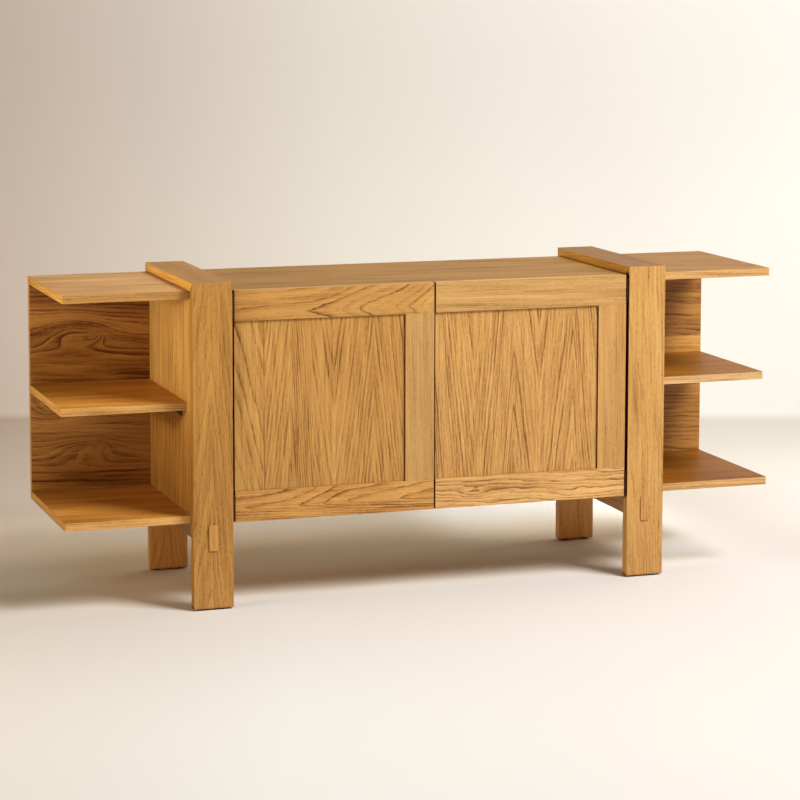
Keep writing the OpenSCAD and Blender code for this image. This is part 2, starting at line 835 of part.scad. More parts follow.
module wing_dowels() {
    color(beech) {
        for (side = [LEFT, RIGHT]) on_side(side) {
            for (x = wing_xs) {
                back_dowel(x, ceiling, "-z", "z");
                back_dowel(x, shelf_z, "z", "-z");
                back_dowel(x, shelf_under, "-z", "z");
                back_dowel(x, floor_top, "z", "-z");
            }
            for (y = dowel_ys)
                dowel([-post_out, y, shelf_z - board_t / 2], "-x", "x", small_dowel_d,
                      small_dowel_long, small_dowel_in_board);
        }
        for (x = wing_xs)
            dowel([x, wing_back_y, shelf_z + back_rail_h], "z", "-z", small_dowel_d,
                  small_dowel_long, small_dowel_long);
    }
}

module cap_screws() {
    color(steel)
        for (side = [LEFT, RIGHT], y = long_screw_ys)
            on_side(side)
                screw([-post_mid, y, ceiling], "z", long_screw_d, long_head_d,
                      long_head_rise, board_t + long_screw_bite);
}

module stretcher_screws() {
    color(steel)
        for (side = [LEFT, RIGHT], y = long_screw_ys)
            on_side(side)
                screw([-post_mid, y, floor_top], "-z", long_screw_d, long_head_d,
                      long_head_rise, 2 * board_t + long_screw_bite);
}

front_post(LEFT);  // front_post_left
front_post(RIGHT);  // front_post_right
rear_post(LEFT);  // rear_post_left
rear_post(RIGHT);  // rear_post_right
cap(LEFT);  // cap_left
cap(RIGHT);  // cap_right
stretcher(LEFT);  // stretcher_left
stretcher(RIGHT);  // stretcher_right
glides();
top_board();
bottom_board();
wall(LEFT);  // wall_left
wall(RIGHT);  // wall_right
partition();
back_panel();
wing_shelf(LEFT);  // wing_shelf_left
wing_shelf(RIGHT);  // wing_shelf_right
wing_back(LEFT, shelf_z, ceiling);  // wing_back_upper_left
wing_back(RIGHT, shelf_z + back_rail_h, ceiling);  // wing_back_upper_right
wing_back(LEFT, floor_top, shelf_under);  // wing_back_lower_left
wing_back(RIGHT, floor_top, shelf_under);  // wing_back_lower_right
wing_back(RIGHT, shelf_z, shelf_z + back_rail_h);  // wing_back_rail_right
inner_shelf(LEFT);  // inner_shelf_left
inner_shelf(RIGHT);  // inner_shelf_right
shelf_pins();
shelf_brackets();
bracket_screws();
top_rail(LEFT, left_door_x);  // left_door_top_rail
bottom_rail(LEFT, left_door_x);  // left_door_bottom_rail
stile(left_door_x);  // left_door_stile
door_panel(left_door_x);  // left_door_panel
top_rail(RIGHT, right_door_x);  // right_door_top_rail
bottom_rail(RIGHT, right_door_x);  // right_door_bottom_rail
stile(right_door_x);  // right_door_stile
door_panel(right_door_x);  // right_door_panel
hinge_leaves(LEFT, 0);  // left_hinge_post_leaves
hinge_leaves(LEFT, 1);  // left_hinge_door_leaves
hinge_pins(LEFT);  // left_hinge_pins
hinge_leaves(RIGHT, 0);  // right_hinge_post_leaves
hinge_leaves(RIGHT, 1);  // right_hinge_door_leaves
hinge_pins(RIGHT);  // right_hinge_pins
hinge_post_screws();
door_hinge_screws(LEFT);  // left_door_hinge_screws
door_hinge_screws(RIGHT);  // right_door_hinge_screws
latch_body(LEFT);  // left_latch_body
latch_plunger(LEFT);  // left_latch_plunger
strike_plate(LEFT);  // left_strike_plate
latch_body(RIGHT);  // right_latch_body
latch_plunger(RIGHT);  // right_latch_plunger
strike_plate(RIGHT);  // right_strike_plate
latch_screws();
carcass_dowels();
post_dowels();
wing_dowels();
cap_screws();
stretcher_screws();
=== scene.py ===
import json
import math

import bmesh
import bpy
from mathutils import Matrix, Vector


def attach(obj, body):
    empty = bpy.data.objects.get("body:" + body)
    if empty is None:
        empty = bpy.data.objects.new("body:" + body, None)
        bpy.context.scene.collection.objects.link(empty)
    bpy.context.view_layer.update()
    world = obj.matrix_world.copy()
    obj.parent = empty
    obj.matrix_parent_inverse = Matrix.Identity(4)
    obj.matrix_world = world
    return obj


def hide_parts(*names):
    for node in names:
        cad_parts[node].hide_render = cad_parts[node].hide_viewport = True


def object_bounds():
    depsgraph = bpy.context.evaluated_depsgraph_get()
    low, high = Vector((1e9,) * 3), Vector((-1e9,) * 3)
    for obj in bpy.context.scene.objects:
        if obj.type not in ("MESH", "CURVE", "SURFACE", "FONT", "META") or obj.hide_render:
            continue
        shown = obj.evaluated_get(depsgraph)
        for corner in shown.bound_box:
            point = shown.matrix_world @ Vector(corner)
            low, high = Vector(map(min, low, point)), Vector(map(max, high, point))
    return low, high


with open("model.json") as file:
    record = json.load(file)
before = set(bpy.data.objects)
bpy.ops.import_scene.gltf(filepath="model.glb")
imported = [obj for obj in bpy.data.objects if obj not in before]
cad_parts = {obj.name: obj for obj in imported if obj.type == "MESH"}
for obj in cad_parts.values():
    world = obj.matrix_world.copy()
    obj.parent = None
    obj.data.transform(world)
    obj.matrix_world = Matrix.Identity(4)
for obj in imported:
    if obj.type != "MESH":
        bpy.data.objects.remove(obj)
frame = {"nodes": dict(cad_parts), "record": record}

cad_box = [list(corner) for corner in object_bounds()]
HALF_LENGTH = cad_box[1][0]
HALF_DEPTH = cad_box[1][1]
HEIGHT = cad_box[1][2]


# Camera, as fitted to the corners of the table in the photograph

IMAGE_SIDE = 800
CAMERA_PLACE = (-2.1226, -6.1894, 1.5265)
CAMERA_YAW = math.radians(18.834)
CAMERA_PITCH = math.radians(6.245)
CAMERA_ROLL = math.radians(0.092)
FOCAL_PIXELS = 2663.3
VIEW_CENTRE_ROW = 250
SENSOR_WIDTH = 36.0


def make_camera():
    """The photograph's camera. Its view axis was taken to meet the picture above the middle, so the
    lens is shifted."""
    data = bpy.data.cameras.new("camera")
    data.sensor_width = SENSOR_WIDTH
    data.lens = FOCAL_PIXELS * SENSOR_WIDTH / IMAGE_SIDE
    data.shift_y = (VIEW_CENTRE_ROW - IMAGE_SIDE / 2) / IMAGE_SIDE
    camera = bpy.data.objects.new("camera", data)
    bpy.context.scene.collection.objects.link(camera)
    turn = Matrix.Rotation(-CAMERA_YAW, 4, "Z") @ Matrix.Rotation(math.pi / 2 - CAMERA_PITCH, 4, "X")
    camera.matrix_world = Matrix.Translation(CAMERA_PLACE) @ turn @ Matrix.Rotation(CAMERA_ROLL, 4, "Z")
    bpy.context.scene.camera = camera


# Nodes, written as arithmetic

OPENNESS_SAMPLES = 8


class Field:
    """A number at each point of a surface. Sums and products of fields make Math nodes."""

    def __init__(self, tree, socket):
        self.tree = tree
        self.socket = socket

    def __add__(self, other):
        return self.tree.math("ADD", self, other)

    def __sub__(self, other):
        return self.tree.math("SUBTRACT", self, other)

    def __mul__(self, other):
        return self.tree.math("MULTIPLY", self, other)

    def __truediv__(self, other):
        return self.tree.math("DIVIDE", self, other)

    def __pow__(self, other):
        return self.tree.math("POWER", self, other)

    def __rsub__(self, other):
        return self.tree.math("SUBTRACT", other, self)

    def __rtruediv__(self, other):
        return self.tree.math("DIVIDE", other, self)

    def floor(self):
        return self.tree.math("FLOOR", self)

    def above(self, limit):
        """1 where the field is above the limit, and 0 elsewhere."""
        return self.tree.math("GREATER_THAN", self, limit)

    def ramp(self, low, high, start=0.0, end=1.0):
        """start below low, end above high, and smooth between them."""
        node = self.tree.node("MapRange", interpolation_type="SMOOTHSTEP")
        for socket, value in zip(node.inputs, (self, low, high, start, end)):
            self.tree.put(socket, value)
        return Field(self.tree, node.outputs[0])


class Tree:
    """One material and its nodes."""

    def __init__(self, name):
        self.material = bpy.data.materials.new(name)
        self.material.use_nodes = True
        self.nodes = self.material.node_tree.nodes
        self.links = self.material.node_tree.links
        self.nodes.clear()

    def node(self, kind, **settings):
        made = self.nodes.new("ShaderNode" + kind)
        for name, value in settings.items():
            setattr(made, name, value)
        return made

    def put(self, socket, value):
        if isinstance(value, Field):
            value = value.socket
        if isinstance(value, bpy.types.NodeSocket):
            self.links.new(value, socket)
        else:
            socket.default_value = value

    def math(self, operation, *values):
        node = self.node("Math", operation=operation)
        for socket, value in zip(node.inputs, values):
            self.put(socket, value)
        return Field(self, node.outputs[0])

    def place(self):
        """The three object coordinates, in metres, in the frame that all the tools share."""
        split = self.node("SeparateXYZ")
        self.links.new(self.node("TexCoord").outputs["Object"], split.inputs[0])
        return [Field(self, socket) for socket in split.outputs]

    def joined(self, *parts):
        node = self.node("CombineXYZ")
        for socket, value in zip(node.inputs, parts):
            self.put(socket, value)
        return node.outputs[0]

    def noise(self, parts, detail=2.0):
        """Smooth noise from 0 to 1, at the point given by three fields that are already scaled."""
        node = self.node("TexNoise")
        self.links.new(self.joined(*parts), node.inputs["Vector"])
        node.inputs["Scale"].default_value = 1.0
        node.inputs["Detail"].default_value = detail
        return Field(self, node.outputs[0])

    def random(self, field):
        """A number from 0 to 1 that stays the same wherever the field does."""
        node = self.node("TexWhiteNoise", noise_dimensions="1D")
        self.put(node.inputs["W"], field)
        return Field(self, node.outputs["Value"])

    def curve(self, field, points, handles):
        """The line through the points (field, value), level beyond its ends."""
        low, high = points[0][0], points[-1][0]
        least = min(value for _, value in points)
        span = max(value for _, value in points) - least or 1.0
        node = self.node("FloatCurve")
        line = node.mapping.curves[0]
        scaled = [((at - low) / (high - low), (value - least) / span) for at, value in points]
        line.points[0].location = scaled[0]
        line.points[1].location = scaled[-1]
        for point in scaled[1:-1]:
            line.points.new(*point)
        for point in line.points:
            point.handle_type = handles
        node.mapping.update()
        self.put(node.inputs["Value"], (field - low) / (high - low))
        return Field(self, node.outputs[0]) * span + least

    def mix(self, amount, first, second):
        """A colour between first and second."""
        node = self.node("Mix", data_type="RGBA")
        self.put(node.inputs["Factor"], amount)
        self.put(node.inputs["A"], first)
        self.put(node.inputs["B"], second)
        return node.outputs["Result"]

    def shades(self, amount, stops):
        """The colour at an amount of 0 to 1, from stops of (amount, colour)."""
        node = self.node("ValToRGB")
        line = node.color_ramp
        line.elements[0].position, line.elements[1].position = stops[0][0], stops[-1][0]
        for at, _ in stops[1:-1]:
            line.elements.new(at)
        for element, (_, colour) in zip(line.elements, stops):
            element.color = rgb(*colour)
        self.put(node.inputs[0], amount)
        return node.outputs[0]

    def times(self, first, second):
        """The product of two colours."""
        node = self.node("VectorMath", operation="MULTIPLY")
        self.put(node.inputs[0], first)
        self.put(node.inputs[1], second)
        return node.outputs[0]

    def openness(self, reach):
        """1 on an open surface, and less where another surface stands within reach, as in a gap."""
        node = self.node("AmbientOcclusion", samples=OPENNESS_SAMPLES)
        node.inputs["Distance"].default_value = reach
        return Field(self, node.outputs["AO"])

    def bump(self, height, depth, strength):
        """A bump normal from a height field of 0 to 1, depth metres deep."""
        node = self.node("Bump")
        node.inputs["Strength"].default_value = strength
        node.inputs["Distance"].default_value = depth
        self.put(node.inputs["Height"], height)
        return node.outputs[0]

    def finish(self, colour, roughness, normal, **same_all_over):
        """Ends the material in one shader. same_all_over holds sockets with one value each."""
        shader = self.node("BsdfPrincipled")
        self.put(shader.inputs["Base Color"], colour)
        self.put(shader.inputs["Roughness"], roughness)
        self.put(shader.inputs["Normal"], normal)
        for name, value in same_all_over.items():
            shader.inputs[name.replace("_", " ")].default_value = value
        out = self.node("OutputMaterial")
        self.links.new(shader.outputs[0], out.inputs["Surface"])
        return self.material


def rgb(red, green, blue):
    return (red, green, blue, 1.0)


# Oak

MM = 0.001
AXES = {"x": 0, "y": 1, "z": 2}
FLATTEST = 0.16  # the least steepness that a ring's line is drawn for, so that arches keep thin lines
GAP_REACH = 12 * MM
OPEN_ENOUGH = (0.76, 0.99)  # openness at which a gap's dark is full, and at which it is gone
UNCHANGED = (1.0, 1.0, 1.0)  # the share that leaves a colour as it is
SEAM_SHIFT = 0.37  # how far the grain of one glued strip lies from that of the next
HALF_FADE = 0.69  # makes the dark of a ring fall to half over its line width
DRIFT = 0.012  # how far the rings drift, in metres of height
DRIFT_SPAN = 0.035  # the height over which that drift turns
FIBRE_SHIFT, RING_SHIFT, STRENGTH_SHIFT = 7, 5, 13  # part the noises of boards with different seeds

# Width and length of each noise in the grain
WANDER = (25 * MM, 180 * MM)
FEATHERING = (3 * MM, 80 * MM)
BREAKS = (2.2 * MM, 50 * MM)
FADES = (22 * MM, 110 * MM)
FINE_RINGS = (2.4 * MM, 120 * MM)
FINE_FIBRES = (2.6 * MM, 140 * MM)
COARSE_RINGS = (8 * MM, 300 * MM)
COARSE_FIBRES = (11 * MM, 260 * MM)
SPECKLE = (1.6 * MM, 9 * MM)
CLOUDS = (40 * MM, 300 * MM)
LONG_PORES = (1.3 * MM, 12 * MM)
SHORT_PORES = (0.7 * MM, 5 * MM)

# Shades of one board, as shares of its mean colour, from its lightest wood to its darkest pores
SHADES = ((0.0, (1.36, 1.52, 1.80)), (0.4, (1.0, 1.0, 1.0)), (0.75, (0.52, 0.42, 0.32)),
          (1.0, (0.27, 0.17, 0.12)))


def oak(name, along, across, figure, climb, mean, ring=8 * MM, line=0.5, line_width=1.5 * MM,
        wave=4 * MM, roll=(90 * MM, 600 * MM), feather=0.8 * MM, pores=0.3, streaks=0.3, cloud=0.15,
        eyes=(), seams=(), tints=(), gap=None, handles="VECTOR", uneven=0.7, shine=0.3, seed=0.0):
    """Plain-sawn oak.

    The growth rings are the contour lines of one height: figure is its curve across the board, climb its
    curve along the grain, both as points (place, height) in metres, and it rises with depth too. Where
    figure has a top or a bottom, the contours close into the nested arches of flat-sawn wood. ring is
    the height from one ring to the next, and roll the size of the board's slow waves. An eye is (along,
    across, half length, half width, height). mean is the board's mean colour, and a tint (along, share)
    changes it at that place: the tints are painted light and shade, which make parts of a board lighter
    or darker where they stand in more or less light. gap is the share of the colour that is left inside a
    narrow gap, as painted shade where little light comes in. A seam is the place across where two glued
    strips meet.

    line, pores, streaks and cloud are the strengths of the ring lines, the pores, the fine streaks and
    the slow changes of tone. line_width is the lines' width, and wave and feather are how far the lines
    stray slowly and quickly. uneven is how far the rings differ in strength. shine is the specular
    level, and seed sets the board's own noise.
    """
    tree = Tree(name)
    place = tree.place()
    deep_axis = ({0, 1, 2} - {AXES[along], AXES[across]}).pop()
    lengthwise, sideways, inward = place[AXES[along]], place[AXES[across]], place[deep_axis]
    strip = sideways * 0.0
    for seam in seams:
        strip = sideways.above(seam) + strip
    shift = strip * SEAM_SHIFT + seed
    moved = sideways + shift

    def fibres(width, length, detail=2.0):
        """Noise drawn out along the grain, about 0 on average."""
        drawn_out = lengthwise / length + shift * FIBRE_SHIFT
        return tree.noise((moved / width, inward / width, drawn_out), detail) - 0.5

    height = tree.curve(sideways, figure, handles) + tree.curve(lengthwise, climb, handles) + inward
    height = height + fibres(*roll) * (wave * 3) + fibres(*WANDER) * (wave * 1.2)
    height = height + fibres(*FEATHERING) * (feather * 2)
    for at_along, at_across, half_length, half_width, rise in eyes:
        far = ((lengthwise - at_along) / half_length) ** 2 + ((sideways - at_across) / half_width) ** 2
        height = height + tree.math("EXPONENT", far * -1.0) * rise
    height = height + tree.noise((height / DRIFT_SPAN, shift, shift)) * DRIFT

    def follows(width, length, detail=2.0):
        """Noise drawn out along the rings, about 0 on average."""
        drawn_out = lengthwise / length + shift * RING_SHIFT
        return tree.noise((height / width, inward / width, drawn_out), detail) - 0.5

    beside = [tree.curve(sideways + step, figure, handles) for step in (1 * MM, -1 * MM)]
    rise = (beside[0] - beside[1]) / (2 * MM)
    steep = tree.math("ABSOLUTE", rise) + FLATTEST
    count = height / ring
    number = count.floor()
    early = (1.0 - (count - number)) ** (HALF_FADE * ring / line_width / steep)
    strength = tree.random(number + seed * STRENGTH_SHIFT) * uneven + (1.0 - uneven)
    broken = fibres(*BREAKS).ramp(-0.25, 0.2, 0.5, 1.15)
    faded = fibres(*FADES).ramp(-0.16, 0.12, 0.45, 1.1)
    rings = early * strength * broken * faded

    # The shares of each noise, and the ranges that turn noise into pores, are tuned
    fine = follows(*FINE_RINGS, detail=3.0) * 0.4 + fibres(*FINE_FIBRES, detail=3.0) * 0.8
    coarse = follows(*COARSE_RINGS) * 0.6 + fibres(*COARSE_FIBRES) * 0.5
    speckle = fibres(*SPECKLE)
    clouds = follows(*CLOUDS, detail=1.0)
    long_pores = fibres(*LONG_PORES, detail=1.0).ramp(0.10, 0.22)
    short_pores = fibres(*SHORT_PORES, detail=1.0).ramp(0.08, 0.20)
    holes = (long_pores * 0.6 + short_pores * 0.4) * (early * 0.8 + 0.4)

    tone = rings * line + (fine + coarse + speckle * 0.5) * streaks * 2 + clouds * cloud * 2
    tone = tone + holes * pores + (tree.random(strip + seed) - 0.5) * 0.08 + (0.38 - line * 0.10)
    colour = tree.shades(tone, [(at, [a * b for a, b in zip(share, mean)]) for at, share in SHADES])
    # Painted light and shade along the board's length
    if tints:
        start, reach = tints[0][0], tints[-1][0] - tints[0][0]
        stops = [((at - start) / reach, share) for at, share in tints]
        colour = tree.times(colour, tree.shades((lengthwise - start) / reach, stops))
    # Painted shade inside narrow gaps, where ambient occlusion finds another surface close by
    if gap:
        opened = tree.openness(GAP_REACH).ramp(*OPEN_ENOUGH)
        colour = tree.times(colour, tree.mix(opened, rgb(*gap), rgb(*UNCHANGED)))
    rough = holes * 0.2 + fine * 0.15 + 0.44
    relief = 1.0 - holes * 0.7 - rings * 0.4 + fine * 0.3
    normal = tree.bump(relief, 0.3 * MM, 0.6)
    return tree.finish(colour, rough, normal, Specular_IOR_Level=shine)


def level(low, high, slope=1.0):
    """A straight figure: rings that lie side by side."""
    return ((low, 0.0), (high, slope * (high - low)))


# Sizes of the mottle in a plain finish and of its slow change, in metres
MOTTLE_SPAN = 0.004
CLOUD_SPAN = 0.03


def plain(name, colour, other, roughness, **plain_sockets):
    """A finish without grain: a faint mottle of two close colours, and a roughness that varies."""
    tree = Tree(name)
    place = tree.place()
    mottle = tree.noise([axis / MOTTLE_SPAN for axis in place], detail=3)
    cloud = tree.noise([axis / CLOUD_SPAN for axis in place])
    colour = tree.mix(mottle * 0.6 + cloud * 0.4, rgb(*colour), rgb(*other))
    rough = mottle * 0.12 + (roughness - 0.06)
    return tree.finish(colour, rough, tree.bump(mottle, 0.05 * MM, 0.4), **plain_sockets)


# Mean colours, tuned against the photograph
# Partly the oak's own tones and partly painted light and shade: the right-hand golds and RIGHT_BROWN are
# lighter than the left-hand ones where the right side stands in more light, BROWN is darker for the left
# wing's back boards in shade, and GREY, the colour of faces that look up, is darker and greyer than the
# fronts, as painted shade and sheen. SHADED_EDGE is painted shadow.
GOLD = (0.455, 0.225, 0.052)
POST_GOLD = (0.42, 0.202, 0.041)
RIGHT_GOLD = (0.48, 0.245, 0.069)
RIGHT_POST_GOLD = (0.56, 0.298, 0.084)
BROWN = (0.39, 0.160, 0.029)
RIGHT_BROWN = (0.41, 0.180, 0.037)
PALE = (0.483, 0.262, 0.083)
# Pale colour of the boards' edges, and a painted highlight on the arrises
PALE_EDGE_AND_HIGHLIGHT = (0.54, 0.31, 0.125)
AMBER = (0.585, 0.275, 0.041)
GREY = (0.309, 0.153, 0.031)
SHADED_EDGE = (0.05, 0.018, 0.005)

# Places of the table's parts: from the middle outward, and from the floor up
POST_OUT = 0.600
POST_IN = 0.504
LOW_RAIL = (0.205, 0.278)
TOP_RAIL = (0.664, 0.737)

# Climbs along the grain
LONG_WAY = ((-HALF_LENGTH, 0.0), (HALF_LENGTH, 0.10))
UPRIGHT = ((0.0, 0.0), (HEIGHT, 0.025))
BACKWARD = ((-HALF_DEPTH, 0.0), (HALF_DEPTH, 0.04))


def scaled(colour, *shares):
    return [part * share for part, share in zip(colour, shares)]


def make_oaks():
    """Each oak board's finishes, by name."""
    made = {}

    def add(name, **given):
        made[name] = oak(name, seed=0.11 * len(made) + 0.05, **given)

    # Painted light and shade: the right cap's top is a darker, much less blue copy of the left one's
    for side, low, high, gold, tenon, cap, foot, climb in (
            ("left", -POST_OUT, -POST_IN, POST_GOLD, scaled(POST_GOLD, 1.2, 1.22, 1.35),
             scaled(GREY, 1.12, 1.04, 1.0), (1.13, 1.15, 1.36), 0.06),
            ("right", POST_IN, POST_OUT, RIGHT_POST_GOLD, scaled(RIGHT_POST_GOLD, 0.875, 0.80, 0.84),
             scaled(GREY, 0.73, 0.59, 0.32), (0.93, 0.89, 0.94), 0.025)):
        post = {"along": "z", "across": "x", "climb": ((0.0, 0.0), (HEIGHT, climb)), "wave": 6 * MM,
                "line": 0.28, "pores": 0.58, "streaks": 0.32, "feather": 1.4 * MM,
                "figure": ((low, climb - 0.04), (low + 0.045, 0.0), (high, 0.040)),
                "roll": (60 * MM, 300 * MM), "line_width": 2.2 * MM,
                # Painted shadow: the lowest 8 mm of each post are darkened, as the dark line where it meets
                # the floor; up to 0.30 m, foot changes the lower post's tone
                "tints": ((0.0, (0.35, 0.25, 0.15)), (0.008, foot), (0.30, UNCHANGED),
                          (HEIGHT, UNCHANGED))}
        add("post_" + side, mean=gold, **post)
        # Painted light: the rear posts are lighter copies of the front posts' oak, to make up for the shade
        # they stand in
        add("rear_post_" + side, mean=scaled(gold, 1.40, 1.32, 1.30), **post)
        add("cap_" + side, along="y", across="x", climb=BACKWARD, mean=cap, figure=level(low, high),
            line=0.25, streaks=0.4, shine=0.1)
        add("cap_edge_" + side, along="y", across="z", climb=BACKWARD, mean=(0.75, 0.372, 0.0555),
            figure=level(0.0, HEIGHT), line=0.25, streaks=0.4)
        add("stretcher_" + side, along="y", across="z", climb=BACKWARD, mean=gold,
            figure=level(0.0, HEIGHT), line=0.25)
        add("tenon_" + side, along="z", across="x", climb=UPRIGHT, mean=tenon,
            figure=level(low, high), line=0.25, streaks=0.4)
        add("end_" + side, along="y", across="z", climb=BACKWARD, mean=AMBER, figure=level(0.0, HEIGHT),
            line=0.3, streaks=0.4)
    edge = {"along": "x", "across": "z", "climb": LONG_WAY, "figure": level(0.0, HEIGHT), "ring": 5 * MM,
            "line": 0.3, "streaks": 0.45, "wave": 3 * MM}
    add("edge_left", mean=scaled(GOLD, 1.07, 1.11, 1.28), **edge)
    add("edge_right", mean=scaled(PALE_EDGE_AND_HIGHLIGHT, 1.05, 1.1, 1.15), **edge)
    # Painted light and shade: the top board's edges are darker towards the left end, the bottom board's
    # lighter there
    add("edge_long", mean=PALE_EDGE_AND_HIGHLIGHT, **edge,
        tints=((-0.6, (0.80, 0.70, 0.48)), (0.5, (1.0, 0.94, 0.80)), (0.9, (1.0, 0.94, 0.82))))
    add("edge_low", mean=PALE_EDGE_AND_HIGHLIGHT, **edge,
        tints=((-0.6, (1.14, 1.04, 0.76)), (0.5, (1.0, 0.97, 0.87)), (0.9, (1.0, 0.94, 0.80))))
    flat = {"along": "x", "across": "y", "climb": LONG_WAY, "line": 0.22, "streaks": 0.42,
            "figure": level(-HALF_DEPTH, HALF_DEPTH, 0.8), "cloud": 0.4, "shine": 0.06}
    # Painted light and shade: the left and right shelf tops are lit and shaded copies of one oak, the left
    # ones lighter to make up for the shade under the boards above them, the right ones darker and less
    # blue; the bottom board's top is darkened over the right wing
    add("shelf_left", mean=(0.48, 0.204, 0.033), **flat)
    add("shelf_right", mean=(0.250, 0.0900, 0.0073), **flat)
    add("low_shelf", mean=(0.48, 0.200, 0.034), **flat,
        tints=((-0.6, UNCHANGED), (0.55, (0.405, 0.315, 0.088)), (0.9, (0.405, 0.315, 0.088))))
    # Painted light and sheen: the top board's flat faces are made much lighter and bluer over the left
    # wing, and slightly darker and less blue towards the right end
    add("top", mean=GREY, **{**flat, "line": 0.15, "streaks": 0.28},
        tints=((-0.60, (1.67, 1.81, 3.1)), (-0.50, (1.06, 1.0, 0.87)), (0.50, (1.01, 0.96, 0.80)),
               (0.65, (0.96, 0.90, 0.94))))
    wall = {"along": "z", "across": "y", "climb": UPRIGHT, "wave": 3 * MM, "line": 0.28, "streaks": 0.70,
            "figure": level(-HALF_DEPTH, HALF_DEPTH)}
    # Painted light and shade: wall_left, which also serves the partition, is a lighter copy of the right
    # wall's oak, and darker below the middle shelf than above it
    add("wall_left", mean=(0.56, 0.300, 0.074), **wall,
        tints=((0.2, (0.80, 0.67, 0.51)), (0.46, (0.80, 0.67, 0.51)), (0.51, UNCHANGED),
               (0.74, UNCHANGED)))
    add("wall_right", mean=RIGHT_GOLD, **wall)
    back = {"along": "x", "across": "z", "climb": LONG_WAY, "wave": 9 * MM, "handles": "AUTO_CLAMPED"}
    # Painted light and shade: the left wing's back boards are lighter at the wing's open end and darker
    # towards the post, and the upper board is darker than the lower
    bold = {"ring": 13 * MM, "line": 0.95, "line_width": 3.4 * MM, "streaks": 0.5, "cloud": 0.9,
            "roll": (60 * MM, 220 * MM), "pores": 0.2,
            "tints": ((-0.9, (1.22, 1.26, 1.30)), (-0.78, UNCHANGED), (-0.62, (0.80, 0.76, 0.70)))}
    add("back_left_upper", mean=scaled(BROWN, 0.84, 0.83, 0.80), figure=level(0.45, 0.75), **back, **bold,
        eyes=((-0.785, 0.612, 0.080, 0.040, -0.058), (-0.738, 0.603, 0.024, 0.013, -0.030)))
    add("back_left_lower", mean=scaled(BROWN, 0.98, 1.03, 1.09), figure=level(0.2, 0.5), **back,
        **{**bold, "line": 0.75, "streaks": 0.42, "cloud": 0.6},
        eyes=((-0.770, 0.325, 0.070, 0.030, -0.042), (-0.735, 0.330, 0.024, 0.012, -0.024),
              (-0.852, 0.430, 0.045, 0.030, 0.040)))
    add("back_right", mean=scaled(RIGHT_BROWN, 0.90, 0.89, 0.85), figure=level(0.2, 0.75), cloud=0.28,
        ring=12 * MM, line=0.66, line_width=2.6 * MM, streaks=0.5, roll=(60 * MM, 170 * MM), **back)
    rail = {"along": "x", "across": "z", "ring": 5.5 * MM, "line": 0.85, "wave": 2.5 * MM, "uneven": 0.8,
            "feather": 1.0 * MM, "streaks": 0.38, "handles": "AUTO_CLAMPED", "line_width": 2 * MM}
    # Painted shade: the left door's top rail is darker towards its left end
    add("left_top_rail", mean=scaled(GOLD, 1.03, 1.03, 1.08), climb=(
        (-0.498, 0.0), (-0.30, 0.003), (-0.187, 0.015), (-0.109, 0.024), (-0.061, 0.032), (0.0, 0.046)),
        figure=((0.664, -0.001), (0.692, 0.0075), (0.701, 0.0088), (0.710, 0.0075), (0.737, 0.0)), **rail,
        tints=((-0.498, (0.84, 0.78, 0.66)), (-0.40, UNCHANGED), (0.0, (1.03, 1.03, 1.05))))
    add("left_bottom_rail", mean=scaled(GOLD, 1.07, 1.03, 1.06), climb=(
        (-0.498, 0.0), (-0.40, 0.0015), (-0.341, 0.005), (-0.283, 0.0105), (-0.222, 0.016),
        (-0.15, 0.0185), (-0.072, 0.0215), (0.0, 0.024)),
        figure=((0.205, 0.0), (0.228, 0.0195), (0.238, 0.0245), (0.246, 0.0235), (0.278, 0.0155)),
        **{**rail, "line": 1.0, "uneven": 0.55, "streaks": 0.5})
    add("right_top_rail", mean=(0.53, 0.295, 0.096), climb=((0.0, 0.0), (0.5, 0.02)),
        figure=level(*TOP_RAIL), **{**rail, "line": 0.2, "streaks": 0.3})
    add("back_rail", mean=(0.585, 0.292, 0.069), climb=((0.0, 0.0), (0.9, 0.04)),
        figure=level(0.45, 0.55), **{**rail, "line": 0.35})
    add("right_bottom_rail", mean=(0.605, 0.329, 0.110), climb=((0.0, 0.0), (0.5, 0.012)),
        figure=level(*LOW_RAIL, slope=0.55), roll=(35 * MM, 110 * MM),
        eyes=((0.10, 0.238, 0.035, 0.010, 0.006), (0.17, 0.226, 0.030, 0.008, -0.006)),
        **{**rail, "wave": 5 * MM, "feather": 1.6 * MM})
    for side, low, high, mean in (("left", -0.075, 0.0, PALE), ("right", 0.42, 0.5, (0.51, 0.266, 0.081))):
        add(side + "_stile", along="z", across="x", climb=UPRIGHT, mean=mean, figure=level(low, high),
            line=0.2, pores=0.4, streaks=0.24, ring=6 * MM)
    panel = {"along": "z", "across": "x", "climb": ((0.27, 0.0), (0.67, 0.036)), "ring": 7 * MM,
             "streaks": 0.46, "wave": 3.5 * MM, "uneven": 0.75, "line_width": 2.1 * MM, "cloud": 0.05}
    add("left_panel", mean=scaled(GOLD, 0.97, 0.95, 0.96), line=0.82, seams=(-0.4245,), **panel,
        figure=((-0.498, 0.0), (-0.4246, 0.024), (-0.4244, 0.075), (-0.36, 0.030), (-0.305, 0.100),
                (-0.252, 0.128), (-0.193, 0.092), (-0.154, 0.060), (-0.0747, 0.120)))
    add("right_panel", mean=scaled(RIGHT_GOLD, 1.11, 1.13, 1.16), line=0.66, **panel,
        figure=((0.0018, 0.0), (0.03, 0.032), (0.06, 0.058), (0.104, 0.090), (0.15, 0.052),
                (0.205, -0.008), (0.271, 0.037), (0.31, 0.010), (0.36, -0.024), (0.423, 0.036)))
    # Painted shadow: shaded_edge is a near black oak for the stretchers' arrises, which darkens them and
    # outlines each tenon
    add("shaded_edge", along="z", across="y", climb=UPRIGHT, mean=SHADED_EDGE, figure=level(-1.0, 1.0),
        line=0.1)
